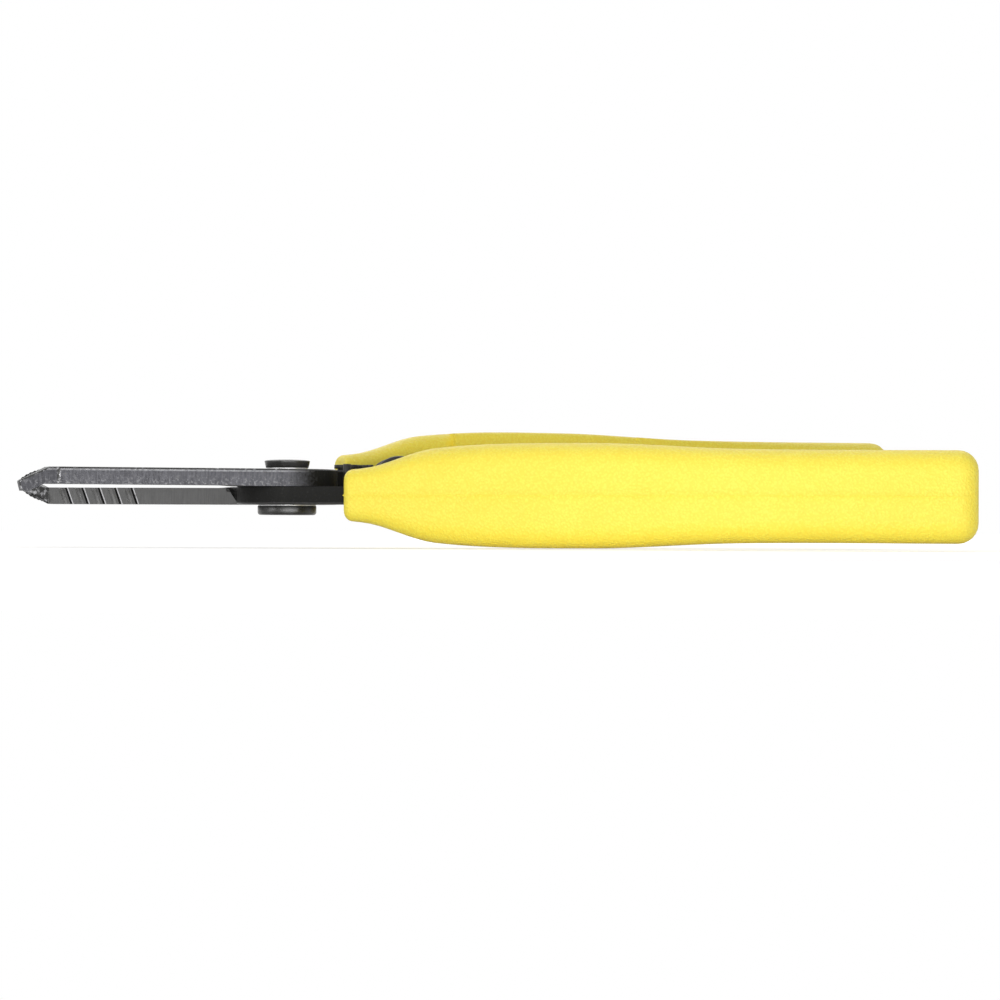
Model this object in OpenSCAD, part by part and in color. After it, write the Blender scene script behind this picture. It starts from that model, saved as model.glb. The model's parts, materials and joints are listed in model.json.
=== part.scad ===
// Plate-type wire-stripping pliers with moulded grips, sprung open.
// Both levers are one stamping: the lower one is the upper one turned over about X.
// Every lever piece is drawn closed, with the pivot axis on Z and the middle plane between the plates at z = 0.

/* [Plates] */
// Thickness of each lever plate
plate_t = 2.7; // [2:0.1:4]
// Gap between the two plates
plate_gap = 0.04; // [0.02:0.01:0.1]
// Radius of the round hub at the pivot
hub_r = 7.8; // [7.2:0.1:8.6]
// Angle between the levers when the spring holds them open
open_angle = 24; // [16:1:30]

/* [Jaws] */
// Distance from the pivot to the nose tip
jaw_l = 42.1; // [40:0.1:50]
// Length of the nose that tapers in plan
nose_l = 5.4; // [4.6:0.1:8]
// Length of the slope on the nose's outer face
nose_slope_l = 4.2; // [3.6:0.1:7]
// Distance from the end of the ground edge to the bend of the nose
bend_clearance = 1; // [0.2:0.1:1.4]
// Depth that the nose tip reaches past the middle plane
tip_drop = 0.9; // [0.5:0.05:1.2]
// Height of the blunt nose tip
tip_h = 1.5; // [1:0.1:2]
// Width of the nose at its tip
tip_w = 1.8; // [1.2:0.1:3]
// Width of the jaw where the nose begins
jaw_w = 5.6; // [4.6:0.1:7]
// Gap between the two noses when closed
nose_gap = 0.06; // [0.02:0.01:0.2]

/* [Cutting edges] */
// Distance from the pivot to the heel of the ground edge
edge_start = 9.6; // [9:0.1:12]
// Distance from the nose tip to the end of the ground edge
nose_run = 4.5; // [4:0.1:6]
// Depth that the closed edges pass each other
edge_lap = 0.25; // [0.1:0.05:0.5]
// Slope of the ground face, away from the middle plane
bevel_angle = 22; // [12:1:30]
// Set of each blade away from the middle plane
blade_set = 0.14; // [0.05:0.01:0.3]
// Length of the unground land at the heel
heel_l = 1.7; // [0.8:0.1:2]
// Height of the unground land at the heel
heel_h = 0.75; // [0.4:0.05:1.2]

/* [Stripping notches] */
// Number of notches in each blade
notch_count = 5; // [3:1:5]
// Distance from the end of the ground edge to the first notch
notch_start = 2.1; // [1.4:0.1:6]
// Distance between notches
notch_pitch = 2.6; // [1.8:0.1:2.8]
// Width of a notch
notch_w = 1.35; // [0.8:0.05:1.6]
// Tilt of the notches along the blade
notch_tilt = 15; // [0:1:20]

/* [Pivot] */
// Diameter of the nut's barrel, on which both plates turn
barrel_d = 5; // [4:0.1:6]
// Radial clearance of the barrel in the plates
barrel_clearance = 0.03; // [0.02:0.01:0.08]
// Diameter of the screw's thread
thread_d = 3; // [2.5:0.1:3.4]
// Radial clearance of the thread in the barrel
thread_clearance = 0.02; // [0.01:0.01:0.05]
// Depth of solid metal above the thread hole
nut_floor = 1; // [0.8:0.1:1.2]
// Diameter of the screw's head
head_d = 9.1; // [8:0.1:11]
// Height of the screw's head
head_h = 1.4; // [1:0.1:2]
// Radius of the rounded rim on the screw's head
head_round = 0.45; // [0.2:0.05:0.8]
// Diameter of the nut's head at its widest
nut_d = 7.1; // [6.8:0.1:9]
// Height of the nut's head
nut_h = 1.3; // [1.1:0.1:2]
// Amount by which the nut's head narrows to its foot
nut_flare = 0.25; // [0.1:0.05:0.5]
// Rise of the nut's domed top
nut_crown = 0.25; // [0.1:0.05:0.4]
// Width of the screwdriver slot in the nut
slot_w = 0.9; // [0.6:0.1:1.4]
// Depth of the screwdriver slot in the nut
slot_depth = 0.45; // [0.3:0.05:0.6]
// Thickness of the two washers
washer_t = 0.22; // [0.15:0.01:0.4]
// Amount by which each washer is smaller than the head over it
washer_inset = 0.1; // [0.05:0.05:0.3]

/* [Grips] */
// Distance from the pivot to the front of the grips, closed
grip_x = 10.4; // [10:0.1:13]
// Length of a grip
grip_l = 95.2; // [88:0.1:110]
// Distance from the grip's front to the back of its cuff
cuff_run = 4.5; // [4:0.1:6]
// Distance from the grip's front to its shoulder
shoulder_run = 14; // [12:0.1:16]
// Distance from the grip's front to its bulge
bulge_run = 38; // [30:0.5:42]
// Distance from the grip's front to its waist
waist_run = 60; // [54:0.5:66]
// Thickness of a grip at its front
front_t = 7.6; // [6.6:0.1:8.4]
// Thickness of a grip at the back of its cuff
cuff_t = 8.8; // [8.4:0.1:10]
// Thickness of a grip at its shoulder
shoulder_t = 14.3; // [12.5:0.1:15.5]
// Thickness of a grip at its bulge
bulge_t = 15.7; // [14:0.1:18]
// Thickness of a grip at its waist
waist_t = 14; // [13:0.1:16]
// Thickness of a grip at its tail
tail_t = 13.9; // [12:0.1:16]
// Distance from the middle line to the grip's own line, at its front
front_y = 7; // [6.6:0.1:7.6]
// Distance from the middle line to the grip's own line, at its bow
bow_y = 13.4; // [12.6:0.1:16]
// Distance from the middle line to the grip's own line, at its tail
tail_y = 10.2; // [9:0.1:14]
// Width of a grip at its front
front_w = 8.6; // [8:0.1:9.4]
// Width of a grip at its bow
bow_w = 11; // [10:0.1:13]
// Width of a grip at its tail
tail_w = 10; // [9:0.1:12]
// Radius of the corners on the outer side of a grip
outer_corner = 3.4; // [2.5:0.1:3.8]
// Radius of those corners at the grip's front
front_corner = 1.8; // [1.2:0.1:2.6]
// Radius of the corners along the raised inner land
land_corner = 1.6; // [1:0.1:2.4]
// Radius of the inner corners towards the tail
tail_corner = 3.2; // [2.5:0.1:3.6]
// Distance from the grip's front to the end of the inner land
land_run = 46; // [42:0.5:54]
// Radius of the rounding at a grip's front end
front_round = 1.2; // [0.6:0.1:2]
// Radius of the rounding at a grip's tail end
tail_round = 3; // [2:0.1:3.2]

/* [Tangs] */
// Width of the tang inside a grip
tang_w = 5; // [4:0.1:5.4]
// Length of the tang inside a grip
tang_l = 62; // [50:1:75]
// Clearance between a tang and its grip
tang_clearance = 0.08; // [0.04:0.01:0.15]

/* [Return spring] */
// Outer diameter of the coil spring
spring_d = 9.6; // [8.6:0.1:10]
// Diameter of the spring's wire
wire_d = 0.9; // [0.7:0.05:1.1]
// Number of turns in the spring
spring_turns = 5; // [4:1:6]
// Share by which the spring's pitch opens out from its ends to its middle
pitch_ease = 0.25; // [0:0.05:0.3]
// Distance from the pivot to the middle of the spring, sprung open
spring_x = 18; // [17.4:0.1:18.6]
// Length of the flat bed for a spring end, along the grip
bed_l = 18.2; // [16:0.1:20]
// Distance from the grip's own line to the bed
bed_depth = 3.5; // [3.2:0.05:3.7]
// Clearance between the wire and the bed
bed_clearance = 0.1; // [0.05:0.01:0.2]

/* [Lock] */
// Distance from the pivot to the latch pin, along the closed levers
latch_x = 9.6; // [9.4:0.1:10]
// Distance from the middle line to the latch pin and to the catch pin
latch_y = 1.5; // [1.4:0.05:1.7]
// Radius of the ear that carries a pin on each lever
ear_r = 1.9; // [1.6:0.05:2.1]
// Diameter of the latch pin and of the catch pin
pin_d = 1.2; // [1:0.05:1.3]
// Clearance of a pin in an ear
pin_fit = 0.01; // [0.01:0.005:0.03]
// Clearance of the latch on its pin
latch_clearance = 0.03; // [0.02:0.01:0.06]
// Thickness of the latch
latch_t = 0.6; // [0.5:0.05:1]
// Radius of the latch around its pin
latch_r = 1.6; // [1.5:0.05:1.8]
// Diameter of the latch pin's flush head
pin_head_d = 2.4; // [2:0.1:2.6]
// Height of the latch pin's flush head
pin_head_h = 0.3; // [0.2:0.05:0.4]
// Gap between the latch and the plate under it
latch_gap = 0.25; // [0.15:0.05:0.4]
// Diameter of the latch pin's collar, which holds that gap
collar_d = 2.2; // [1.8:0.1:2.6]
// Clearance of the hook around the catch pin
hook_clearance = 0.1; // [0.06:0.02:0.2]
// Width of the hook's lip beyond the catch pin
hook_lip = 0.8; // [0.6:0.05:1]
// Angle that the latch turns between open and hooked
latch_swing = 70; // [60:1:75]

/* [Hidden] */
$fn = 64;

// Overrun of cuts past the faces that they pass through
cut_over = 1;
// Overrun of the grinding past the ends of the edge
grind_over = 0.15;
// Depth inside the hub at which the jaw and the neck begin
hub_root = 0.6;
half_open = open_angle / 2;
plate_low = plate_gap / 2;
plate_top = plate_low + plate_t;
bore_r = barrel_d / 2 + barrel_clearance;
barrel_r = barrel_d / 2;
pin_r = pin_d / 2;
thread_r = thread_d / 2;
head_r = head_d / 2;
nut_r = nut_d / 2;
nut_foot_r = nut_r - nut_flare;
// Height of the middle plane over the outer face of the screw's head, which is the origin
middle_z = plate_top + washer_t + head_h;
// The nut's washer runs on the moving plate with the same gap as the plates
nut_seat_z = plate_top + plate_gap + washer_t;
edge_end = jaw_l - nose_run;
edge_l = edge_end - edge_start;
// Points in a rounded corner and stations along a grip
corner_steps = 5;
round_steps = 3;
grip_stations = 26;
tang_stations = 12;
rings_per_turn = 8;
wire_sides = 6;
tail_x = grip_x + grip_l;
bow_x = grip_x + (bulge_run + waist_run) / 2;

// A smooth curve through key points, with the slope at a key taken from its neighbours
function key_span(x, keys, i = 0) =
    (i >= len(keys) - 2 || x < keys[i + 1][0]) ? i : key_span(x, keys, i + 1);
function key_slope(keys, i) =
    let (a = keys[max(i - 1, 0)], b = keys[min(i + 1, len(keys) - 1)])
    (b[1] - a[1]) / (b[0] - a[0]);
function curve(x, keys) =
    let (
        i = key_span(x, keys),
        run = keys[i + 1][0] - keys[i][0],
        t = (x - keys[i][0]) / run,
        rise = keys[i + 1][1] - keys[i][1],
        bend_a = key_slope(keys, i) * run - rise,
        bend_b = rise - key_slope(keys, i + 1) * run
    )
    keys[i][1] + rise * t + t * (1 - t) * (bend_a * (1 - t) + bend_b * t);

// A grip's own line, its half thickness, its width and its inner corners, along X
line_keys = [[grip_x, front_y], [bow_x, bow_y], [tail_x, tail_y]];
half_keys = [
    [grip_x, front_t / 2],
    [grip_x + cuff_run, cuff_t / 2],
    [grip_x + shoulder_run, shoulder_t / 2],
    [grip_x + bulge_run, bulge_t / 2],
    [grip_x + waist_run, waist_t / 2],
    [tail_x, tail_t / 2]
];
width_keys = [[grip_x, front_w], [bow_x, bow_w], [tail_x, tail_w]];
corner_keys = [
    [grip_x, land_corner],
    [grip_x + land_run, land_corner],
    [grip_x + (land_run + grip_l) / 2, tail_corner],
    [tail_x, tail_corner]
];
outer_keys = [[grip_x, front_corner], [grip_x + shoulder_run, outer_corner], [tail_x, outer_corner]];
function grip_line(x) = curve(x, line_keys);

// How far a rounded end has drawn the section in, at a distance from that end
function end_inset(d, r) = d >= r ? 0 : r - sqrt(r * r - (r - d) * (r - d));

function corner(u, z, r, start) =
    [for (i = [0 : corner_steps]) let (a = start + 90 * i / corner_steps) [u + r * cos(a), z + r * sin(a)]];

// The grip's section at x: rounded corners, wide on the outer side, tight along the inner land
function grip_ring(x) =
    let (
        inset = max(end_inset(x - grip_x, front_round), end_inset(tail_x - x, tail_round)),
        half = curve(x, half_keys) - inset,
        side = curve(x, width_keys) / 2 - inset,
        r_out = max(lookup(x, outer_keys) - inset, front_round / 4),
        r_in = max(lookup(x, corner_keys) - inset, front_round / 4),
        section = concat(
            corner(side - r_out, half - r_out, r_out, 0),
            corner(r_in - side, half - r_in, r_in, 90),
            corner(r_in - side, r_in - half, r_in, 180),
            corner(side - r_out, r_out - half, r_out, 270)
        )
    )
    [for (p = section) [x, grip_line(x) + p[0], (plate_low + plate_top) / 2 + p[1]]];

front_stops = [for (i = [0 : round_steps]) grip_x + front_round * (1 - cos(90 * i / round_steps))];
tail_stops = [for (i = [round_steps : -1 : 0]) tail_x - tail_round * (1 - cos(90 * i / round_steps))];
body_start = grip_x + front_round;
body_l = grip_l - front_round - tail_round;
body_stops = [for (i = [1 : grip_stations - 1]) body_start + body_l * i / grip_stations];
grip_stops = concat(front_stops, body_stops, tail_stops);

module grip_body() {
    rings = [for (x = grip_stops) grip_ring(x)];
    polyhedron([for (ring = rings) each ring], tube_faces(len(rings), len(rings[0])));
}

// The two edges of the tang, following the grip's own line, grown by a clearance
function tang_stops(grow) =
    [for (i = [0 : tang_stations]) grip_x - cut_over + i * (tang_l + cut_over + grow) / tang_stations];
function tang_edge(grow) = [for (x = tang_stops(grow)) [x, grip_line(x) + tang_w / 2 + grow]];
function tang_back(grow) =
    let (stops = tang_stops(grow))
    [for (i = [tang_stations : -1 : 0]) [stops[i], grip_line(stops[i]) - tang_w / 2 - grow]];

// Plan of the tang with its neck, from inside the hub
module neck_and_tang() {
    root_r = hub_r - hub_root;
    neck_end = tang_back(0)[tang_stations];
    root_angle = atan2(neck_end[1], neck_end[0]) - 8;
    polygon(concat(
        [[0, 0], [0, root_r]],
        tang_edge(0),
        tang_back(0),
        [[root_r * cos(root_angle), root_r * sin(root_angle)]]
    ));
}

// Plan of a jaw, from inside the hub to past the nose tip
module jaw_plan() {
    end_w = tip_w - cut_over * (jaw_w - tip_w) / nose_l;
    polygon([
        [0, hub_root - hub_r],
        [-(jaw_l - nose_l), -jaw_w],
        [-(jaw_l + cut_over), -end_w],
        [-(jaw_l + cut_over), -nose_gap / 2],
        [-edge_end, -nose_gap / 2],
        [-edge_end, edge_lap],
        [0, edge_lap]
    ]);
}

// Side view of a jaw: the blade stands off the middle plane, and the nose bends back past it
module jaw_side() {
    blade_low = plate_low + blade_set;
    set_x = hub_r + heel_l / 2;
    set_l = 2;
    tip_lead = tip_h / 4;
    polygon([
        [0, plate_low],
        [-set_x, plate_low],
        [-(set_x + set_l), blade_low],
        [-(edge_end + bend_clearance), blade_low],
        [-(jaw_l - tip_h), -tip_drop],
        [-(jaw_l - tip_lead), -tip_drop],
        [-jaw_l, tip_h - tip_drop],
        [-(jaw_l - nose_slope_l), plate_top],
        [0, plate_top]
    ]);
}

module jaw() {
    intersection() {
        translate([0, 0, -2 * plate_t]) linear_extrude(4 * plate_t) jaw_plan();
        rotate([90, 0, 0]) linear_extrude(4 * hub_r, center = true) jaw_side();
    }
}

// The stock ground away beside the edge, over a length along X and above a height
module ground_stock(x, l, low) {
    high = plate_top + cut_over;
    clear_y = edge_lap + cut_over;
    translate([x, 0, 0])
        rotate([90, 0, 90])
            linear_extrude(l)
                polygon([
                    [edge_lap - low * tan(bevel_angle), low],
                    [edge_lap - high * tan(bevel_angle), high],
                    [clear_y, high],
                    [clear_y, low]
                ]);
}

module notches() {
    along_bevel = atan(tan(bevel_angle) * cos(notch_tilt));
    for (i = [0 : notch_count - 1])
        translate([notch_start + i * notch_pitch - edge_end, edge_lap, 0])
            rotate([along_bevel, notch_tilt, 0])
                translate([0, 0, -cut_over])
                    cylinder(d = notch_w, h = 2 * plate_t + cut_over);
}

// Round ear with the hole for a lock pin, on a stub that widens towards the hub
module ear() {
    reach = norm([latch_x, latch_y]);
    stub_w = ear_r * 0.7;
    root_w = ear_r + hub_root;
    translate([latch_x, latch_y, plate_low]) cylinder(r = ear_r, h = plate_t);
    rotate([0, 0, atan2(latch_y, latch_x)])
        translate([0, 0, plate_low])
            linear_extrude(plate_t)
                polygon([[hub_r / 2, -root_w], [reach, -stub_w], [reach, stub_w], [hub_r / 2, root_w]]);
}

module lever() {
    color([0.16, 0.16, 0.17])
        difference() {
            union() {
                translate([0, 0, plate_low]) cylinder(r = hub_r, h = plate_t);
                jaw();
                ear();
                translate([0, 0, plate_low]) linear_extrude(plate_t) neck_and_tang();
            }
            translate([0, 0, -cut_over]) cylinder(r = bore_r, h = plate_top + 2 * cut_over);
            translate([latch_x, latch_y, -cut_over]) cylinder(r = pin_r + pin_fit, h = plate_top + 2 * cut_over);
            ground_stock(-edge_end - grind_over, edge_l + grind_over, 0);
            ground_stock(-edge_start - grind_over, heel_l + grind_over, plate_low + heel_h);
            notches();
        }
}

// Direction of the bed in a closed grip, and the grip's point from which it is set off
bed_angle = atan2(grip_line(grip_x + bed_l) - front_y, bed_l);

module bed_cut() {
    translate([grip_x, front_y, 0])
        rotate([0, 0, bed_angle])
            translate([-cut_over, -bed_depth - bow_w, -bulge_t])
                cube([bed_l + cut_over, bow_w, 2 * bulge_t]);
}

module grip() {
    color([0.98, 0.9, 0.16])
        difference() {
            grip_body();
            translate([0, 0, plate_low - tang_clearance])
                linear_extrude(plate_t + 2 * tang_clearance)
                    polygon(concat(tang_edge(tang_clearance), tang_back(tang_clearance)));
            bed_cut();
        }
}

module on_upper() {
    translate([0, 0, middle_z]) rotate([0, 0, half_open]) children();
}

module on_lower() {
    translate([0, 0, middle_z]) rotate([0, 0, -half_open]) rotate([180, 0, 0]) children();
}

module upper_lever() {
    on_upper() lever();
}

module lower_lever() {
    on_lower() lever();
}

module upper_grip() {
    on_upper() grip();
}

module lower_grip() {
    on_lower() grip();
}

module pivot_screw() {
    head_top = head_h;
    shank_top = middle_z + nut_seat_z + nut_h - nut_floor - plate_gap;
    rim = [for (i = [0 : corner_steps]) let (a = 90 * i / corner_steps)
        [head_r - head_round * (1 - sin(a)), head_round * (1 - cos(a))]];
    color([0.12, 0.12, 0.13])
        rotate_extrude()
            polygon(concat(
                [[0, 0]],
                rim,
                [[head_r, head_top], [thread_r, head_top], [thread_r, shank_top], [0, shank_top]]
            ));
}

module pivot_nut() {
    seat = middle_z + nut_seat_z;
    foot = head_h + washer_t;
    hole_top = seat + nut_h - nut_floor;
    hole_r = thread_r + thread_clearance;
    rim_z = seat + nut_h - nut_crown;
    crown = [for (i = [0 : corner_steps]) let (a = 90 * i / corner_steps)
        [nut_r * cos(a), rim_z + nut_crown * sin(a)]];
    color([0.12, 0.12, 0.13])
        difference() {
            rotate_extrude()
                polygon(concat(
                    [[hole_r, foot], [barrel_r, foot], [barrel_r, seat], [nut_foot_r, seat]],
                    crown,
                    [[0, hole_top], [hole_r, hole_top]]
                ));
            translate([-nut_r - cut_over, -slot_w / 2, seat + nut_h - slot_depth])
                cube([nut_d + 2 * cut_over, slot_w, slot_depth + cut_over]);
        }
}

module washer(outer_r) {
    color([0.86, 0.86, 0.84])
        difference() {
            cylinder(r = outer_r, h = washer_t);
            translate([0, 0, -cut_over]) cylinder(r = bore_r, h = washer_t + 2 * cut_over);
        }
}

module screw_washer() {
    translate([0, 0, head_h]) washer(head_r - washer_inset);
}

module nut_washer() {
    translate([0, 0, middle_z + nut_seat_z - washer_t]) washer(nut_foot_r - washer_inset);
}

// The coil's axis, sprung open: an arc about the line where the planes of the two beds meet
seat_angle = bed_angle + half_open;
seat_point = [
    grip_x * cos(half_open) - front_y * sin(half_open) + bed_depth * sin(seat_angle),
    grip_x * sin(half_open) + front_y * cos(half_open) - bed_depth * cos(seat_angle)
];
fan_x = seat_point[0] - seat_point[1] / tan(seat_angle);
fan_r = spring_x - fan_x;
coil_r = (spring_d - wire_d) / 2;
end_angle = seat_angle - asin((wire_d / 2 + bed_clearance) / (fan_r - coil_r));
coil_rings = spring_turns * rings_per_turn;

function axis_angle(s) =
    let (u = 2 * s - 1)
    end_angle * (u + pitch_ease * sin(180 * u) / PI);
function axis_point(s) = [fan_x + fan_r * cos(axis_angle(s)), fan_r * sin(axis_angle(s)), 0];
function wire_point(s) =
    let (turn = 360 * spring_turns * s, r = fan_r + coil_r * cos(turn))
    [fan_x + r * cos(axis_angle(s)), r * sin(axis_angle(s)), coil_r * sin(turn)];
function unit(v) = v / norm(v);
function wire_ring(s) =
    let (
        step = 0.01 / spring_turns,
        along = unit(wire_point(s + step) - wire_point(s - step)),
        out = unit(wire_point(s) - axis_point(s)),
        side = cross(along, out)
    )
    [for (i = [0 : wire_sides - 1])
        let (a = 360 * i / wire_sides)
        wire_point(s) + wire_d / 2 * (cos(a) * out + sin(a) * side)];

// Least gap between neighbouring turns, measured on the wire's own points
wire_points = [for (i = [0 : coil_rings]) wire_point(i / coil_rings)];
half_turn = rings_per_turn / 2;
turn_gaps = [for (i = [0 : coil_rings]) for (j = [i + half_turn : 1 : coil_rings])
    norm(wire_points[i] - wire_points[j]) - wire_d];
echo(least_spring_gap = min(turn_gaps));

// Side faces between rings of n points, and the two end faces
function tube_faces(count, n) = concat(
    [for (k = [0 : count - 2]) for (i = [0 : n - 1])
        let (a = k * n + i, b = k * n + (i + 1) % n)
        each [[a, b, a + n], [b, b + n, a + n]]],
    [[for (i = [n - 1 : -1 : 0]) i], [for (i = [0 : n - 1]) (count - 1) * n + i]]
);

module return_spring() {
    rings = [for (i = [0 : coil_rings]) wire_ring(i / coil_rings)];
    color([0.1, 0.1, 0.11])
        translate([0, 0, middle_z])
            polyhedron([for (ring = rings) each ring], tube_faces(len(rings), wire_sides));
}

latch_low = plate_top + latch_gap;
latch_top = latch_low + latch_t;
catch_reach = 2 * latch_y;
hook_r = pin_r + hook_clearance;
hook_end = catch_reach + hook_r + hook_lip;

// Plan of the latch, hooked: its pin at the origin, its arm along -Y
module latch_outline() {
    polygon([
        [-latch_r, 0],
        [latch_r, 0],
        [latch_r, -catch_reach],
        [latch_r - hook_lip, -hook_end],
        [-hook_lip, -hook_end],
        [-hook_r - hook_lip, -catch_reach]
    ]);
}

// The path of the catch pin through the hook's mouth
module hook_mouth(h) {
    translate([0, -catch_reach, 0]) cylinder(r = hook_r, h = h);
    intersection() {
        difference() {
            cylinder(r = catch_reach + hook_r, h = h);
            translate([0, 0, -cut_over]) cylinder(r = catch_reach - hook_r, h = h + 2 * cut_over);
        }
        translate([-2 * hook_end, -2 * hook_end, 0]) cube([2 * hook_end, 2 * hook_end, h]);
    }
}

module lock_latch() {
    color([0.13, 0.13, 0.14])
        on_upper()
            translate([latch_x, latch_y, latch_low])
                rotate([0, 0, latch_swing])
                    difference() {
                        union() {
                            cylinder(r = latch_r, h = latch_t);
                            linear_extrude(latch_t) latch_outline();
                        }
                        translate([0, 0, -cut_over]) hook_mouth(latch_t + 2 * cut_over);
                        translate([0, 0, -cut_over])
                            cylinder(r = pin_r + latch_clearance, h = latch_t + 2 * cut_over);
                        translate([0, 0, latch_t - pin_head_h - latch_clearance])
                            cylinder(d = pin_head_d + 2 * latch_clearance, h = latch_t);
                    }
}

module latch_pin() {
    color([0.3, 0.3, 0.31])
        on_upper()
            translate([latch_x, latch_y, 0]) {
                translate([0, 0, plate_low]) cylinder(r = pin_r, h = latch_top - plate_low);
                translate([0, 0, plate_top]) cylinder(d = collar_d, h = latch_gap - latch_clearance);
                translate([0, 0, latch_top - pin_head_h]) cylinder(d = pin_head_d, h = pin_head_h);
            }
}

module catch_pin() {
    color([0.3, 0.3, 0.31])
        on_lower()
            translate([latch_x, latch_y, -latch_top]) cylinder(r = pin_r, h = latch_top + plate_top);
}

upper_lever();
lower_lever();
upper_grip();
lower_grip();
pivot_screw();
pivot_nut();
screw_washer();
nut_washer();
return_spring();
lock_latch();
latch_pin();
catch_pin();
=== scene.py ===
"""Plate-type wire-stripping pliers with moulded yellow grips, sprung open, on a pale floor."""
import json
from math import asin, atan2, cos, pi, radians, sin, sqrt, tan

import bmesh
import bpy
from mathutils import Matrix, Vector


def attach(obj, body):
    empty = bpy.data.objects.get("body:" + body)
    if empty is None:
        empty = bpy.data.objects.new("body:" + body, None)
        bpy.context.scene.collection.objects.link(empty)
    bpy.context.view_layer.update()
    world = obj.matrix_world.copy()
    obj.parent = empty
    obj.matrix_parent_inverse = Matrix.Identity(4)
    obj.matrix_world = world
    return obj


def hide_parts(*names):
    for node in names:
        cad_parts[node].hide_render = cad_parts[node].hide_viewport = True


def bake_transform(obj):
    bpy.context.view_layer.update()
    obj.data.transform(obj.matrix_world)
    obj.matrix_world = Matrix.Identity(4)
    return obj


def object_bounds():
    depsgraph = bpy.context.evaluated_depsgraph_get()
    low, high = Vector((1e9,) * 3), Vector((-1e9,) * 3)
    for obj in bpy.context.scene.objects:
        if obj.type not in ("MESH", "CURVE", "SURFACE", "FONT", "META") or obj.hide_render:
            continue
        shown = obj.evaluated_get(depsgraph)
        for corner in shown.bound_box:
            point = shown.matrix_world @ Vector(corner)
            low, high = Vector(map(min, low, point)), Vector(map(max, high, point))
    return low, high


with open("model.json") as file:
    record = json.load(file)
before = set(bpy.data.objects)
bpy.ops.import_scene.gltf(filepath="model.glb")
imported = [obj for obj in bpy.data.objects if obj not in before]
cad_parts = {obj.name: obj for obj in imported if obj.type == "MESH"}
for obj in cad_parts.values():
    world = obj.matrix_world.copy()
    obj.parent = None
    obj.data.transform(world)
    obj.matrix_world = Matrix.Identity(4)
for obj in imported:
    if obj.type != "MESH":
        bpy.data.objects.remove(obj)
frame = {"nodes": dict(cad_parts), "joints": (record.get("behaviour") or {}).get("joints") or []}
cad_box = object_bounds()

MM = 0.001

# Levers, in millimetres, as drawn closed about the pivot
OPEN_ANGLE = 24
PLATE_T = 2.7
PLATE_GAP = 0.04
HUB_R = 7.8
EDGE_START = 9.6
EDGE_END = 37.6
NOSE_START = 2.5 - EDGE_END
BEVEL_ANGLE = 22
NOTCH_START = 2.1
NOTCH_PITCH = 2.6
NOTCH_COUNT = 5
NOTCH_TILT = 15
NOTCH_W = 1.35
PLATE_LOW = PLATE_GAP / 2
PLATE_TOP = PLATE_LOW + PLATE_T
PLATE_MIDDLE = (PLATE_LOW + PLATE_TOP) / 2
DIE_ROLL = 0.26
BURR_BREAK = 0.05
CREST_W = 0.18
JAW_L = 42.1
TOOTH_PITCH, TOOTH_DEPTH, TOOTH_BURR = 0.62, 0.14, 0.2
BARE_END, BLACK_START = -3, 3.2

# Where the finishes of a lever change, beside its cutting edge
EDGE_BAND, EDGE_OVERRUN, HEEL_RUN, NOTCH_ZONE = 1.6, 0.3, 0.5, 3

# Grips
GRIP_X = 10.4
GRIP_L = 95.2
TAIL_X = GRIP_X + GRIP_L
CUFF_RUN, SHOULDER_RUN, BULGE_RUN, WAIST_RUN = 4.5, 14, 38, 60
FRONT_T, CUFF_T, SHOULDER_T, BULGE_T, WAIST_T, TAIL_T = 7.6, 8.8, 14.3, 15.7, 14, 13.9
FRONT_Y, BOW_Y, TAIL_Y = 7, 13.4, 10.2
FRONT_W, BOW_W, TAIL_W = 8.6, 11, 10
BOW_X = GRIP_X + (BULGE_RUN + WAIST_RUN) / 2
OUTER_CORNER, FRONT_CORNER, BED_CORNER = 3.4, 1.8, 2.4
LAND_CORNER, LAND_END_CORNER, TAIL_CORNER = 1.0, 0.35, 3.2
LAND_RUN, LAND_STEP, LAND_FADE = 50.5, 0.2, 15
FRONT_ROUND, TAIL_ROUND = 1.2, 3.0
TANG_W, TANG_L, TANG_CLEARANCE = 5, 62, 0.08
POCKET_SETBACK, POCKET_CORNER = 0.02, 0.1
BED_L, BED_DEPTH = 18.2, 3.5
PARTING_RIDGE, PARTING_HALF = 0.09, 0.16
FLASH_NUB = 0.25

# Spring
SPRING_D, WIRE_D, SPRING_TURNS, SPRING_X = 9.6, 0.9, 5, 18
WIRE_SIDES, STEPS_PER_TURN = 14, 40
PITCH_EASE = 0.25
BED_CLEARANCE = 0.1

# Mesh limits: millimetres between points that are one, degrees at which an edge is rounded or creased
SAME_POINT = 0.002
EDGE_ANGLE, CREASE_ANGLE = 28, 9

# Material slots of a lever
OXIDE, SHEARED, GROUND, NOTCH, WORN, CREST, CREASE, TOOTHED = range(8)

middle_z = next(j for j in frame["joints"] if j["name"] == "lever_pivot")["pos_m"][2] / MM
half_open = radians(OPEN_ANGLE / 2)
LIFT = Matrix.Translation((0, 0, middle_z))
ON_UPPER = LIFT @ Matrix.Rotation(half_open, 4, "Z")
ON_LOWER = LIFT @ Matrix.Rotation(-half_open, 4, "Z") @ Matrix.Rotation(pi, 4, "X")


def curve(x, keys):
    """A smooth curve through key points, with the slope at a key taken from its neighbours."""
    last = len(keys) - 1
    i = next((k for k in range(last - 1) if x < keys[k + 1][0]), last - 1)

    def slope(k):
        a, b = keys[max(k - 1, 0)], keys[min(k + 1, last)]
        return (b[1] - a[1]) / (b[0] - a[0])

    run = keys[i + 1][0] - keys[i][0]
    rise = keys[i + 1][1] - keys[i][1]
    t = (x - keys[i][0]) / run
    bend_a = slope(i) * run - rise
    bend_b = rise - slope(i + 1) * run
    return keys[i][1] + rise * t + t * (1 - t) * (bend_a * (1 - t) + bend_b * t)


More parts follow.
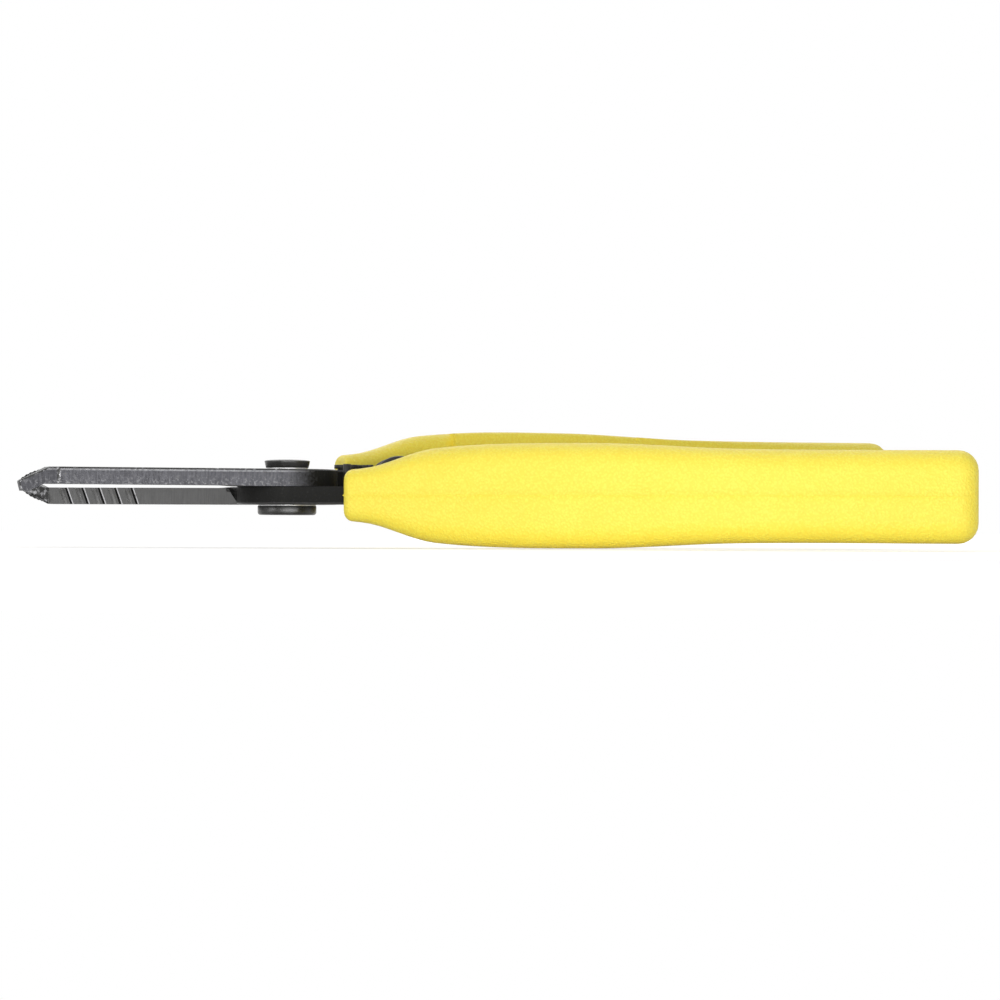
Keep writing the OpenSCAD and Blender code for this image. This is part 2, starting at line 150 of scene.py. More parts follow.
def ramp(x, keys):
    """Straight lines through key points."""
    for (x0, v0), (x1, v1) in zip(keys, keys[1:]):
        if x <= x1:
            return v0 + (v1 - v0) * max(x - x0, 0) / (x1 - x0)
    return keys[-1][1]


LINE_KEYS = [(GRIP_X, FRONT_Y), (BOW_X, BOW_Y), (TAIL_X, TAIL_Y)]
HALF_KEYS = [
    (GRIP_X, FRONT_T / 2),
    (GRIP_X + CUFF_RUN, CUFF_T / 2),
    (GRIP_X + SHOULDER_RUN, SHOULDER_T / 2),
    (GRIP_X + BULGE_RUN, BULGE_T / 2),
    (GRIP_X + WAIST_RUN, WAIST_T / 2),
    (TAIL_X, TAIL_T / 2),
]
WIDTH_KEYS = [(GRIP_X, FRONT_W), (BOW_X, BOW_W), (TAIL_X, TAIL_W)]
OUTER_KEYS = [(GRIP_X, FRONT_CORNER), (GRIP_X + SHOULDER_RUN, OUTER_CORNER), (TAIL_X, OUTER_CORNER)]
LAND_END = GRIP_X + LAND_RUN
INNER_KEYS = [
    (GRIP_X, LAND_CORNER),
    (LAND_END, LAND_CORNER),
    (LAND_END + LAND_STEP, LAND_END_CORNER),
    (LAND_END + LAND_FADE, LAND_CORNER),
    (TAIL_X, TAIL_CORNER),
]


def grip_line(x):
    return curve(x, LINE_KEYS)


bed_angle = atan2(grip_line(GRIP_X + BED_L) - FRONT_Y, BED_L)
bed_end = GRIP_X + BED_L * cos(bed_angle) + BED_DEPTH * sin(bed_angle)


def bed_side(x):
    """Distance from the grip's own line to the flat bed for the spring, at x."""
    bed_y = FRONT_Y + (x - GRIP_X) * tan(bed_angle) - BED_DEPTH / cos(bed_angle)
    return grip_line(x) - bed_y


# Mesh helpers

def keep(bm, name, materials, body, node, smooth=35, marks=None):
    """Turns a bmesh in row metres into a finished piece that stands for a node."""
    mesh = bpy.data.meshes.new(name)
    bm.to_mesh(mesh)
    bm.free()
    mesh.shade_smooth()
    mesh.set_sharp_from_angle(angle=radians(smooth))
    for material in materials:
        mesh.materials.append(material)
    for mark, value_at in (marks or {}).items():
        values = mesh.attributes.new(mark, "FLOAT", "POINT")
        values.data.foreach_set("value", [value_at(v.co / MM) for v in mesh.vertices])
    piece = bpy.data.objects.new(name, mesh)
    bpy.context.scene.collection.objects.link(piece)
    if body:
        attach(piece, body)
    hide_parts(node)
    return piece


def merged_copy(node):
    """A closed copy of a CAD node, with its flat faces whole."""
    bm = bmesh.new()
    bm.from_mesh(frame["nodes"][node].data)
    bmesh.ops.remove_doubles(bm, verts=bm.verts, dist=SAME_POINT * MM)
    bmesh.ops.dissolve_limit(bm, angle_limit=radians(0.5), verts=bm.verts, edges=bm.edges)
    return bm


def sharp_edges(bm, angle=EDGE_ANGLE):
    corners = [e for e in bm.edges if e.is_manifold and e.is_convex]
    return [e for e in corners if e.calc_face_angle() > radians(angle)]


def break_edges(bm, edges, width, segments=2):
    """Rounds the given edges and returns the new faces."""
    made = bmesh.ops.bevel(
        bm, geom=edges, offset=width * MM, offset_type="OFFSET", segments=segments, profile=0.5,
        affect="EDGES", material=-1, clamp_overlap=False,
    )
    return made["faces"]


def carry(bm, ring, place, stops):
    """Extrudes a ring of points from stop to stop, and returns the last ring."""
    start = set(ring)
    edges = [e for e in bm.edges if start.issuperset(e.verts) and not e.is_manifold]
    for stop in stops:
        carried = bmesh.ops.extrude_edge_only(bm, edges=edges)["geom"]
        edges = [g for g in carried if isinstance(g, bmesh.types.BMEdge)]
        ring = [g for g in carried if isinstance(g, bmesh.types.BMVert)]
        place(ring, stop)
    return ring


# Shader helpers

def put(tree, kind, inputs=None, **settings):
    """Adds a node, with its settings, and its inputs given as values or as other nodes' outputs."""
    made = tree.nodes.new(kind)
    for name, value in settings.items():
        setattr(made, name, value)
    for key, value in (inputs or {}).items():
        if isinstance(value, bpy.types.NodeSocket):
            tree.links.new(value, made.inputs[key])
        else:
            made.inputs[key].default_value = value
    return made


def colour_mix(tree, factor, first, second):
    mixer = put(tree, "ShaderNodeMix", {0: factor, 6: first, 7: second}, data_type="RGBA")
    return mixer.outputs[2]


def math(tree, operation, first, second):
    return put(tree, "ShaderNodeMath", {0: first, 1: second}, operation=operation).outputs[0]


def span(tree, value, low, high, to_low=0.0, to_high=1.0):
    mapped = put(tree, "ShaderNodeMapRange", {
        "Value": value, "From Min": low, "From Max": high, "To Min": to_low, "To Max": to_high,
    })
    return mapped.outputs[0]


def new_group(name, inputs, outputs):
    group = bpy.data.node_groups.new(name, "ShaderNodeTree")
    for label, kind in inputs:
        group.interface.new_socket(name=label, in_out="INPUT", socket_type=kind)
    for label in outputs:
        group.interface.new_socket(name=label, in_out="OUTPUT", socket_type="NodeSocketFloat")
    return group, group.nodes.new("NodeGroupInput"), group.nodes.new("NodeGroupOutput")


def speckle_group():
    """Patchy mask and fine height at two scales, shared by every finish."""
    scales = [("Patch Scale", "NodeSocketFloat"), ("Fine Scale", "NodeSocketFloat")]
    group, start, end = new_group("Speckle", [("Vector", "NodeSocketVector"), *scales], ["Patches", "Fine"])
    given = start.outputs
    patches = put(group, "ShaderNodeTexNoise", {
        "Vector": given["Vector"], "Scale": given["Patch Scale"], "Detail": 5.0, "Roughness": 0.6,
    })
    fine = put(group, "ShaderNodeTexNoise", {
        "Vector": given["Vector"], "Scale": given["Fine Scale"], "Detail": 3.0, "Roughness": 0.65,
    })
    group.links.new(patches.outputs[0], end.inputs["Patches"])
    group.links.new(fine.outputs[0], end.inputs["Fine"])
    return group


def strokes_group():
    """Fine lines drawn out along one direction, for ground and sheared steel."""
    group, start, end = new_group(
        "Strokes", [("Vector", "NodeSocketVector"), ("Across", "NodeSocketVector")], ["Lines"],
    )
    drawn = put(group, "ShaderNodeVectorMath", {0: start.outputs["Vector"], 1: start.outputs["Across"]},
                operation="MULTIPLY")
    lines = put(group, "ShaderNodeTexNoise", {"Vector": drawn.outputs[0], "Scale": 1.0, "Detail": 3.0})
    group.links.new(lines.outputs[0], end.inputs["Lines"])
    return group


SPECKLE = speckle_group()
STROKES = strokes_group()


class Finish:
    """A material with its shader, its Object coordinates and the shared speckle."""

    def __init__(self, name, patch_scale, fine_scale, **constants):
        self.material = bpy.data.materials.new(name)
        self.material.use_nodes = True
        self.tree = self.material.node_tree
        self.shader = self.tree.nodes["Principled BSDF"]
        for key, value in constants.items():
            self.shader.inputs[key.replace("_", " ")].default_value = value
        self.place = put(self.tree, "ShaderNodeTexCoord").outputs["Object"]
        spots = self.group(SPECKLE, {"Patch Scale": patch_scale, "Fine Scale": fine_scale})
        self.patches = spots.outputs["Patches"]
        self.fine = spots.outputs["Fine"]

    def group(self, tree, inputs):
        made = self.tree.nodes.new("ShaderNodeGroup")
        made.node_tree = tree
        self.tree.links.new(self.place, made.inputs["Vector"])
        for key, value in inputs.items():
            made.inputs[key].default_value = value
        return made

    def strokes(self, across):
        return self.group(STROKES, {"Across": across}).outputs["Lines"]

    def feed(self, key, value):
        self.tree.links.new(value, self.shader.inputs[key])

    def bump(self, height, depth):
        bumps = put(self.tree, "ShaderNodeBump", {"Height": height, "Distance": depth * MM, "Strength": 1.0})
        self.feed("Normal", bumps.outputs[0])

    def mark(self, name):
        return put(self.tree, "ShaderNodeAttribute", attribute_name=name).outputs["Fac"]


def grey(level, blue=0.0):
    return (level, level, level * (1 + blue), 1)


def black_oxide():
    finish = Finish("Black_oxide", 260, 5200, Metallic=0.4, Specular_IOR_Level=0.22)
    tree = finish.tree
    stain = span(tree, finish.patches, 0.35, 0.7)
    rolled = finish.strokes((260, 5200, 400))
    scratches = math(tree, "MULTIPLY", span(tree, finish.strokes((5600, 420, 300)), 0.62, 0.7), stain)
    black = colour_mix(tree, stain, grey(0.018, -0.04), grey(0.045, -0.02))
    black = colour_mix(tree, span(tree, rolled, 0.35, 0.75, 0, 0.5), black, grey(0.07))
    finish.feed("Base Color", colour_mix(tree, scratches, black, grey(0.2)))
    finish.feed("Roughness", span(tree, rolled, 0.3, 0.7, 0.38, 0.56))
    finish.bump(math(tree, "ADD", finish.fine, rolled), 0.01)
    return finish.material


def sheared_steel():
    """Bare sheared edge along the jaws: burnished above, with a painted highlight band under the rolled
    edge, torn and flecked below, black at the hub.
    """
    finish = Finish("Sheared_steel", 2500, 4600, Specular_IOR_Level=0.12)
    tree = finish.tree
    depth = finish.mark("depth")
    torn = span(tree, depth, 0.75, 0.1)
    # Painted highlight: a brighter band just under the rolled edge, in patches
    painted_highlight_band = math(tree, "MULTIPLY", span(tree, depth, 0.78, 0.84), span(tree, depth, 0.92, 0.88))
    painted_highlight_band = math(tree, "MULTIPLY", painted_highlight_band, span(tree, finish.patches, 0.38, 0.6, 0.35, 1.0))
    streaks = finish.strokes((3200, 3200, 500))
    flecks = math(tree, "MULTIPLY", span(tree, finish.patches, 0.52, 0.64), torn)
    burnished = colour_mix(tree, span(tree, streaks, 0.35, 0.65), grey(0.062, 0.1), grey(0.092, 0.1))
    bare = colour_mix(tree, flecks, burnished, grey(0.19, 0.04))
    bare = colour_mix(tree, painted_highlight_band, bare, grey(0.25, 0.04))
    ragged = math(tree, "ADD", finish.mark("black"), span(tree, finish.patches, 0.3, 0.7, -0.25, 0.25))
    blackened = span(tree, ragged, 0.1, 0.9)
    finish.feed("Base Color", colour_mix(tree, blackened, bare, grey(0.012, -0.05)))
    finish.feed("Metallic", span(tree, blackened, 0, 1, 0.8, 0.45))
    finish.feed("Roughness", span(tree, finish.fine, 0.3, 0.7, 0.45, 0.6))
    finish.bump(math(tree, "ADD", streaks, math(tree, "MULTIPLY", finish.patches, torn)), 0.025)
    return finish.material


def ground_steel():
    """Ground face with fine lines across the edge."""
    finish = Finish("Ground_steel", 300, 2600, Metallic=0.9, Specular_IOR_Level=0.5)
    tree = finish.tree
    lines = finish.strokes((7000, 900, 260))
    finish.feed("Base Color", colour_mix(tree, span(tree, lines, 0.3, 0.7), grey(0.13), grey(0.165)))
    finish.feed("Roughness", span(tree, lines, 0.3, 0.7, 0.4, 0.52))
    finish.bump(lines, 0.003)
    return finish.material


def notch_steel():
    """Stripping notches, with painted light and shade that darkens each notch towards the side that cuts."""
    finish = Finish("Notch_steel", 700, 4000, Metallic=0.45, Specular_IOR_Level=0.1)
    tree = finish.tree
    # Painted light and shade: each notch goes from light on its far wall to dark beside its crest, in
    # patches
    notch_shade = math(tree, "ADD", finish.mark("groove"), span(tree, finish.patches, 0.3, 0.7, -0.1, 0.1))
    finish.feed("Base Color", colour_mix(tree, span(tree, notch_shade, 0.08, 0.6), grey(0.3), grey(0.012)))
    finish.feed("Roughness", span(tree, finish.fine, 0.3, 0.7, 0.4, 0.55))
    finish.bump(finish.fine, 0.01)
    return finish.material


def rubbed_and_highlit_steel(name, low, high, bright):
    """Edges worn to bright steel in places and blackened towards the hub; on notch crests and nose creases
    the bright steel is also a painted highlight.
    """
    finish = Finish(name, 1300, 5000, Specular_IOR_Level=0.5)
    tree = finish.tree
    wear_and_highlight = span(tree, finish.patches, low, high)
    bare = span(tree, finish.mark("black"), 0, 1, 1, 0.06)
    mask = math(tree, "MULTIPLY", wear_and_highlight, bare)
    finish.feed("Base Color", colour_mix(tree, mask, grey(0.035), grey(bright, 0.03)))
    finish.feed("Metallic", span(tree, mask, 0, 1, 0.55, 0.95))
    finish.feed("Roughness", span(tree, finish.fine, 0.3, 0.7, 0.3, 0.48))
    finish.bump(finish.fine, 0.008)
    return finish.material


def turned_black(name, low, high, rough):
    """Blackened turned or wound steel with faint wear."""
    finish = Finish(name, 420, 5200, Metallic=0.6, Specular_IOR_Level=0.5)
    tree = finish.tree
    stain = span(tree, finish.patches, 0.4, 0.72)
    finish.feed("Base Color", colour_mix(tree, stain, grey(low, -0.04), grey(high)))
    finish.feed("Roughness", span(tree, finish.fine, 0.3, 0.7, rough - 0.06, rough + 0.1))
    finish.bump(finish.fine, 0.006)
    return finish.material


def bright_washer():
    finish = Finish("Plated_washer", 600, 4200, Metallic=0.8, Specular_IOR_Level=0.5)
    tree = finish.tree
    finish.feed("Base Color", colour_mix(tree, finish.patches, grey(0.55), grey(0.78)))
    finish.feed("Roughness", span(tree, finish.fine, 0.3, 0.7, 0.25, 0.42))
    finish.bump(finish.fine, 0.006)
    return finish.material


def yellow_plastic():
    """Moulded plastic with a fine leather-like grain, with painted orange shade in the grain's pits."""
    finish = Finish("Grained_yellow_plastic", 140, 5200, Specular_IOR_Level=0.5)
    tree = finish.tree
    drift = put(tree, "ShaderNodeTexNoise", {"Vector": finish.place, "Scale": 1500.0}).outputs["Color"]
    shift = put(tree, "ShaderNodeVectorMath", {0: drift, "Scale": 0.3 * MM}, operation="SCALE").outputs[0]
    warped = put(tree, "ShaderNodeVectorMath", {0: finish.place, 1: shift}, operation="ADD").outputs[0]
    cells = put(tree, "ShaderNodeTexVoronoi", {"Vector": warped, "Scale": 2600.0}, feature="F1")
    pebbles = span(tree, cells.outputs["Distance"], 0.1, 0.75, 1.0, 0.0)
    height = math(tree, "ADD", pebbles, math(tree, "MULTIPLY", finish.fine, 0.6))
    deep, bright, pit_shade_colour = (0.94, 0.8, 0.078, 1), (0.96, 0.84, 0.09, 1), (0.88, 0.65, 0.04, 1)
    tone = colour_mix(tree, span(tree, finish.patches, 0.35, 0.68), deep, bright)
    # Painted shade: the grain's pits are mixed towards a darker orange
    painted_pit_shade = span(tree, height, 0.45, 1.05, 0.42, 0.0)
    finish.feed("Base Color", colour_mix(tree, painted_pit_shade, tone, pit_shade_colour))
    finish.feed("Roughness", span(tree, height, 0.5, 1.2, 0.56, 0.42))
    finish.bump(height, 0.07)
    return finish.material


OXIDE_FINISH = black_oxide()
LEVER_FINISHES = [
    OXIDE_FINISH,
    sheared_steel(),
    ground_steel(),
    notch_steel(),
    rubbed_and_highlit_steel("Worn_edge", 0.55, 0.7, 0.36),
    # Notch crests and nose creases: bright steel that is partly wear and partly a painted highlight
    rubbed_and_highlit_steel("Notch_crest_highlight", 0.2, 0.4, 0.55),
    rubbed_and_highlit_steel("Nose_crease_highlight", 0.5, 0.58, 0.28),
    rubbed_and_highlit_steel("Toothed_nose", 0.5, 0.62, 0.3),
]
PIVOT_FINISH = turned_black("Blackened_pivot", 0.04, 0.08, 0.3)
OILED_FINISH = turned_black("Oiled_steel", 0.014, 0.032, 0.34)
WASHER_FINISH = bright_washer()
GRIP_FINISH = yellow_plastic()


# Levers

def lever_face(face, to_lever):
    """The normal and the middle of a face, on the closed lever in millimetres."""
    normal = (to_lever.to_3x3() @ face.normal).normalized()
    return normal, to_lever @ (face.calc_center_median() / MM)


def lever_finish(face, to_lever):
    """The finish of one face of a lever, from its place on the closed lever."""
    normal, spot = lever_face(face, to_lever)
    slope = radians(BEVEL_ANGLE)
    ground = Vector((0, cos(slope), sin(slope)))
    beside_edge = -EDGE_END - EDGE_OVERRUN < spot.x < -HUB_R and spot.y > -EDGE_BAND
    if beside_edge and normal.dot(ground) > 0.985 and spot.x < -EDGE_START:
        return GROUND
    if spot.x < -EDGE_END and normal.y > 0.95:
        return TOOTHED
    if abs(normal.z) > 0.5 or beside_edge and spot.x > -EDGE_START - HEEL_RUN:
        return OXIDE
    if beside_edge and spot.x < -EDGE_START - NOTCH_ZONE:
        return NOTCH
    if spot.x < -EDGE_END and normal.y > 0.3:
        return OXIDE
    return SHEARED


def notch_offset(spot):
    """How far a point lies from the middle of the nearest notch, towards the pivot."""
    lean = spot.z * tan(radians(NOTCH_TILT))
    offsets = [spot.x - lean + EDGE_END - NOTCH_START - i * NOTCH_PITCH for i in range(NOTCH_COUNT)]
    return min(offsets, key=abs)


def is_crest(edge, to_lever):
    """True for the pivot side of a notch, where its wall meets the ground face."""
    if {f.material_index for f in edge.link_faces} != {GROUND, NOTCH}:
        return False
    middle = to_lever @ ((edge.verts[0].co + edge.verts[1].co) / 2 / MM)
    return notch_offset(middle) > NOTCH_W / 4


def cut_teeth(bm, placing):
    """Gripping teeth across the inner face of the nose, each with a burr raised at its outer end."""
    turn = placing.to_3x3()
    along = turn @ Vector((1, 0, 0))
    inward = turn @ Vector((0, -TOOTH_DEPTH, 0))
    outward = turn @ Vector((0, 0, TOOTH_BURR))
    for i in range(1, int((JAW_L - EDGE_END) / TOOTH_PITCH * 2)):
        faces = [f for f in bm.faces if f.material_index == TOOTHED]
        edges = {e for f in faces for e in f.edges}
        verts = {v for f in faces for v in f.verts}
        cut = bmesh.ops.bisect_plane(
            bm, geom=[*faces, *edges, *verts], dist=1e-7,
            plane_co=placing @ Vector((-EDGE_END - i * TOOTH_PITCH / 2, 0, 0)) * MM, plane_no=along)
        crossed = [g for g in cut["geom_cut"] if isinstance(g, bmesh.types.BMVert)]
        if i % 2:
            bmesh.ops.translate(bm, verts=crossed, vec=inward * MM)
        else:
            tops = sorted(crossed, key=lambda v: v.co.dot(outward))[-1:]
            bmesh.ops.translate(bm, verts=tops, vec=outward * MM)


def lever(node, name, body, placing):
    bm = merged_copy(node)
    to_lever = placing.inverted()
    for face in bm.faces:
        face.material_index = lever_finish(face, to_lever)
    keen = {GROUND, NOTCH}
    rolled, broken = [], []
    for edge in sharp_edges(bm, CREASE_ANGLE):
        if keen & {f.material_index for f in edge.link_faces}:
            continue
        heights = [lever_face(f, to_lever)[0].z for f in edge.link_faces]
        creased = max(map(abs, heights)) < 0.3 and (to_lever @ (edge.verts[0].co / MM)).x < NOSE_START
        if creased or edge.calc_face_angle() > radians(EDGE_ANGLE):
            (broken if min(heights) < -0.3 else rolled).append(edge)
    for face in break_edges(bm, rolled, DIE_ROLL, segments=4):
        normal, spot = lever_face(face, to_lever)
        if abs(normal.z) < 0.2 and spot.x < NOSE_START:
            face.material_index = CREASE
        else:
            face.material_index = WORN
    for face in break_edges(bm, [e for e in broken if e.is_valid], BURR_BREAK, segments=1):
        face.material_index = SHEARED
    # Crest faces carry a painted highlight through their finish
    crests = [e for e in bm.edges if is_crest(e, to_lever)]
    for face in break_edges(bm, crests, CREST_W, segments=1):
        face.material_index = CREST
    cut_teeth(bm, placing)
    bmesh.ops.dissolve_degenerate(bm, edges=bm.edges, dist=SAME_POINT * MM)

    def depth(spot):
        return ((to_lever @ spot).z - PLATE_LOW) / PLATE_T

    def black(spot):
        place = to_lever @ spot
        faded = min(max((place.x - BARE_END) / (BLACK_START - BARE_END), 0), 1)
        return 1 if place.y > 1 and place.x > -EDGE_START else faded

    def groove(spot):
        return notch_offset(to_lever @ spot) / NOTCH_W + 0.5

    marks = {"depth": depth, "black": black, "groove": groove}
    piece = keep(bm, name, LEVER_FINISHES, body, node, smooth=24, marks=marks)
    for polygon in piece.data.polygons:
        if polygon.material_index == GROUND:
            polygon.use_smooth = False


lever("upper_lever", "upper_lever_stamping", "upper_half", ON_UPPER)
lever("lower_lever", "lower_lever_stamping", "lower_half", ON_LOWER)


# Pivot and lock

def small_part(node, name, body, finish, width):
    """A small machined piece: the CAD shape with its edges rounded."""
    bm = merged_copy(node)
    break_edges(bm, sharp_edges(bm), width)
    keep(bm, name, [finish], body, node)


small_part("pivot_screw", "pivot_screw_turned", "lower_half", PIVOT_FINISH, 0.08)
small_part("pivot_nut", "pivot_nut_turned", "lower_half", PIVOT_FINISH, 0.06)
small_part("screw_washer", "screw_washer_ring", "lower_half", WASHER_FINISH, 0.05)
small_part("nut_washer", "nut_washer_ring", "lower_half", WASHER_FINISH, 0.05)
small_part("lock_latch", "lock_latch_plate", "latch", OXIDE_FINISH, 0.08)
small_part("latch_pin", "latch_pin_rivet", "upper_half", OILED_FINISH, 0.06)
small_part("catch_pin", "catch_pin_rod", "lower_half", OILED_FINISH, 0.08)


# Grips

def corner_arc(u, v, r, start, steps=6):
    turns = [start + pi / 2 * i / steps for i in range(steps + 1)]
    return [(u + r * cos(a), v + r * sin(a)) for a in turns]


def between(a, b, parts):
    return [(a[0] + (b[0] - a[0]) * i / parts, a[1] + (b[1] - a[1]) * i / parts) for i in range(1, parts)]


def rounded_loop(outer, inner, half, r_out, r_in, ridge=0.0):
    """Points round a section, out to outer, in to -inner, up and down to half, with a ridge outside."""
    top_out = corner_arc(outer - r_out, half - r_out, r_out, 0)
    top_in = corner_arc(r_in - inner, half - r_in, r_in, pi / 2)
    low_in = corner_arc(r_in - inner, r_in - half, r_in, pi)
    low_out = corner_arc(outer - r_out, r_out - half, r_out, 1.5 * pi)
    parting = [(outer, -PARTING_HALF), (outer + ridge, 0), (outer, PARTING_HALF)]
    return (
        parting + between(parting[2], top_out[0], 3) + top_out
        + between(top_out[-1], top_in[0], 4) + top_in
        + between(top_in[-1], low_in[0], 6) + low_in
        + between(low_in[-1], low_out[0], 4) + low_out
        + between(low_out[-1], parting[0], 3)
    )


def end_inset(d, r):
    return 0 if d >= r else r - sqrt(max(r * r - (r - d) ** 2, 0))


def grip_section(x):
    inset = max(end_inset(x - GRIP_X, FRONT_ROUND), end_inset(TAIL_X - x, TAIL_ROUND))
    half = curve(x, HALF_KEYS) - inset
    outer = curve(x, WIDTH_KEYS) / 2 - inset
    on_bed = x < bed_end
    inner = min(bed_side(x), outer) if on_bed else outer
    r_least = FRONT_ROUND / 4
    r_out = max(ramp(x, OUTER_KEYS) - inset, r_least)
    r_in = max((BED_CORNER if on_bed else ramp(x, INNER_KEYS)) - inset, r_least)
    return rounded_loop(outer, inner, half, r_out, r_in, PARTING_RIDGE if inset < 0.3 else 0)


def grip_stops():
    """Stops along the grip, close together at its rounded ends, at the bed's end and at the land's end."""
    ends = [i / 6 for i in range(7)]
    front = [GRIP_X + FRONT_ROUND * (1 - cos(pi / 2 * t)) for t in ends]
    tail = [TAIL_X - TAIL_ROUND * (1 - cos(pi / 2 * (1 - t))) for t in ends]
    bed_steps = [bed_end + d for d in (-0.5, -0.05, 0.05, 0.5)]
    land_steps = [LAND_END + d for d in (-0.4, 0, LAND_STEP, 0.7)]
    count, room = 64, 0.9
    body = [front[-1] + (tail[0] - front[-1]) * i / count for i in range(1, count)]
    body = [x for x in body if min(abs(x - bed_end), abs(x - LAND_END - LAND_STEP / 2)) > room]
    return sorted(front + body + bed_steps + land_steps + tail)


def grip(node, name, body, placing):
    """The moulding, with its pocket for the tang, made by carrying rings along the grip's own line."""
    stops = grip_stops()
    pocket_steps = 12
    pocket_l = TANG_L + TANG_CLEARANCE
    pocket = [GRIP_X + POCKET_SETBACK + pocket_l * i / pocket_steps for i in range(pocket_steps + 1)]
    hole_w, hole_h = TANG_W / 2 + TANG_CLEARANCE, PLATE_T / 2 + TANG_CLEARANCE
    hole = rounded_loop(hole_w, hole_w, hole_h, POCKET_CORNER, POCKET_CORNER)
    bm = bmesh.new()

    def lay(verts, x, section):
        for vert, (across, up) in zip(verts, section):
            vert.co = placing @ Vector((x, grip_line(x) + across, PLATE_MIDDLE + up)) * MM

    def lay_outside(ring, x):
        lay(ring, x, grip_section(x))
        if x < GRIP_X + FLASH_NUB:
            ring[1].co += placing.to_3x3() @ Vector((-FLASH_NUB, 0, 0)) * MM

    start = bmesh.ops.create_circle(bm, segments=len(hole), radius=1)["verts"]
    lay(start, pocket[-1], hole)
    mouth = carry(bm, start, lambda ring, x: lay(ring, x, hole), pocket[-2::-1])
    end = carry(bm, mouth, lay_outside, stops)
    bm.faces.new(start)
    bm.faces.new(end)
    bmesh.ops.recalc_face_normals(bm, faces=bm.faces)
    keep(bm, name, [GRIP_FINISH], body, node, smooth=40)


grip("upper_grip", "upper_grip_moulding", "upper_half", ON_UPPER)
grip("lower_grip", "lower_grip_moulding", "lower_half", ON_LOWER)


# Spring

seat_angle = bed_angle + half_open
seat_x = GRIP_X * cos(half_open) - FRONT_Y * sin(half_open) + BED_DEPTH * sin(seat_angle)
seat_y = GRIP_X * sin(half_open) + FRONT_Y * cos(half_open) - BED_DEPTH * cos(seat_angle)
fan_x = seat_x - seat_y / tan(seat_angle)
fan_r = SPRING_X - fan_x
coil_r = (SPRING_D - WIRE_D) / 2
end_angle = seat_angle - asin((WIRE_D / 2 + BED_CLEARANCE) / (fan_r - coil_r))


def wire_point(s):
    """The wire's middle and the coil's axis: a coil whose axis is an arc between the two beds."""
    u = 2 * s - 1
    lean = end_angle * (u + PITCH_EASE * sin(pi * u) / pi)
    turn = 2 * pi * SPRING_TURNS * s
    r = fan_r + coil_r * cos(turn)
    axis = Vector((fan_x + fan_r * cos(lean), fan_r * sin(lean), middle_z))
    return Vector((fan_x + r * cos(lean), r * sin(lean), middle_z + coil_r * sin(turn))), axis


def return_spring():
    """One wire, wound from bed to bed."""
    steps = SPRING_TURNS * STEPS_PER_TURN
    bm = bmesh.new()
    start = bmesh.ops.create_circle(bm, segments=WIRE_SIDES, radius=WIRE_D / 2)["verts"]
    flat = [v.co.copy() for v in start]

    def lay(ring, s):
        point, axis = wire_point(s)
        along = (wire_point(s + 0.001)[0] - wire_point(s - 0.001)[0]).normalized()
        out = (point - axis).normalized()
        side = along.cross(out)
        for vert, spot in zip(ring, flat):
            vert.co = (point + out * spot.x + side * spot.y) * MM

    lay(start, 0)
    end = carry(bm, start, lay, [k / steps for k in range(1, steps + 1)])
    bm.faces.new(start)
    bm.faces.new(end)
    bmesh.ops.recalc_face_normals(bm, faces=bm.faces)
    piece = keep(bm, "coil_spring_wire", [OILED_FINISH], None, "return_spring")
    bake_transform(piece)


return_spring()


# Floor, light and camera, in metres

FLOOR_HALF, FLOOR_DROP = 40, 0.2 * MM
GLOW_NEAR, GLOW_FAR = (0.1, 0.45), (0.7, 0.9)
FILL = 0.24


def seen_rays(tree):
    """1 for rays that show the floor or the background, 0 for those that only carry light."""
    path = put(tree, "ShaderNodeLightPath").outputs
    shown = math(tree, "MAXIMUM", path["Is Camera Ray"], path["Is Glossy Ray"])
    return math(tree, "MAXIMUM", shown, path["Is Transmission Ray"])


def pale_floor():
    """A pale floor that shows white to the camera and keeps the object's shadow."""
    material = bpy.data.materials.new("Pale_floor")
    material.use_nodes = True
    tree = material.node_tree
    tree.nodes.remove(tree.nodes["Principled BSDF"])
    matt = put(tree, "ShaderNodeBsdfDiffuse", {"Color": (0.86, 0.86, 0.86, 1)})
    spot = put(tree, "ShaderNodeTexCoord").outputs["Object"]
    away = put(tree, "ShaderNodeVectorMath", {0: spot}, operation="LENGTH").outputs["Value"]
    rise = span(tree, away, GLOW_NEAR[0], GLOW_FAR[0], GLOW_NEAR[1], GLOW_FAR[1])
    glow = put(tree, "ShaderNodeEmission", {"Strength": math(tree, "MULTIPLY", seen_rays(tree), rise)})
    both = put(tree, "ShaderNodeAddShader", {0: matt.outputs[0], 1: glow.outputs[0]})
    tree.links.new(both.outputs[0], tree.nodes["Material Output"].inputs["Surface"])
    bm = bmesh.new()
    bmesh.ops.create_grid(bm, x_segments=1, y_segments=1, size=FLOOR_HALF)
    bmesh.ops.translate(bm, verts=bm.verts, vec=(0, 0, cad_box[0][2] - FLOOR_DROP))
    mesh = bpy.data.meshes.new("floor")
    bm.to_mesh(mesh)
    bm.free()
    mesh.materials.append(material)
    floor = bpy.data.objects.new("floor", mesh)
    bpy.context.scene.collection.objects.link(floor)


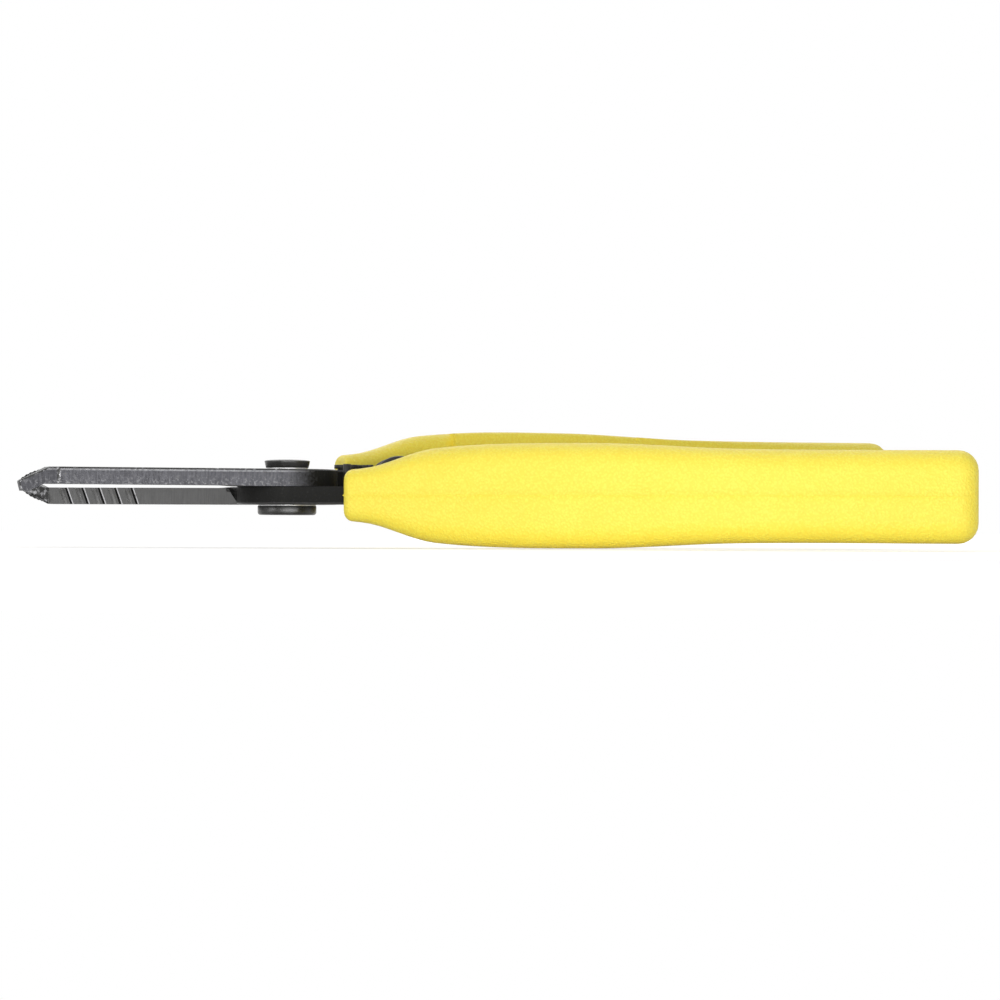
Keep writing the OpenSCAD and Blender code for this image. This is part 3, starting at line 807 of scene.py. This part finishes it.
def studio_light():
    """A faint fill from all round, and four softboxes: name, place, aim, width, height and watts."""
    world = bpy.data.worlds.new("Studio")
    bpy.context.scene.world = world
    world.use_nodes = True
    tree = world.node_tree
    seen = seen_rays(tree)
    back = tree.nodes["Background"]
    tree.links.new(colour_mix(tree, seen, (1, 0.97, 0.93, 1), (1, 1, 1, 1)), back.inputs["Color"])
    tree.links.new(span(tree, seen, 0, 1, FILL, 1.0), back.inputs["Strength"])
    lamps = [
        ("front_softbox", (0.04, -0.18, 0.006), (0.04, 0, 0.0035), 0.28, 0.03, 0.26),
        ("left_softbox", (-0.45, -0.2, 0.08), (0.03, 0, 0), 0.3, 0.15, 0.6),
        ("top_softbox", (0.02, 0.3, 0.75), (0.03, 0, 0), 1.2, 1.2, 3.4),
        ("rear_softbox", (0.1, 0.75, 0.55), (0.03, 0, 0), 1.0, 0.8, 1.6),
    ]
    for name, spot, aim, across, up, power in lamps:
        light = bpy.data.lights.new(name, "AREA")
        light.shape = "RECTANGLE"
        light.size = across
        light.size_y = up
        light.energy = power
        lamp = bpy.data.objects.new(name, light)
        lamp.location = spot
        lamp.visible_camera = False
        lamp.rotation_euler = (Vector(aim) - Vector(spot)).to_track_quat("-Z", "Y").to_euler()
        bpy.context.scene.collection.objects.link(lamp)


def photo_camera():
    """The photograph's view: along +Y, a little below the pivot, turned slightly round Z."""
    picture_w, focal, below_middle = 1000, 3226, 33
    stand_right, stand_back, stand_down = 33, 500, 6.98
    turn, pitch, roll = radians(6.2), atan2(below_middle, focal), radians(0.24)
    right = Vector((cos(turn), -sin(turn), 0))
    level = Vector((sin(turn), cos(turn), 0))
    forward = level * cos(pitch) + Vector((0, 0, sin(pitch)))
    up = right.cross(forward)
    stand = (right * stand_right - level * stand_back + Vector((0, 0, middle_z - stand_down))) * MM
    camera = bpy.data.cameras.new("photo_camera")
    camera.sensor_width = 36
    camera.lens = camera.sensor_width * focal / picture_w
    camera.clip_end = 200
    view = bpy.data.objects.new("photo_camera", camera)
    basis = Matrix((right, up, -forward)).transposed().to_4x4()
    view.matrix_world = Matrix.Translation(stand) @ basis @ Matrix.Rotation(roll, 4, "Z")
    bpy.context.scene.collection.objects.link(view)
    bpy.context.scene.camera = view


pale_floor()
studio_light()
photo_camera()
bpy.context.scene.view_settings.view_transform = "Standard"
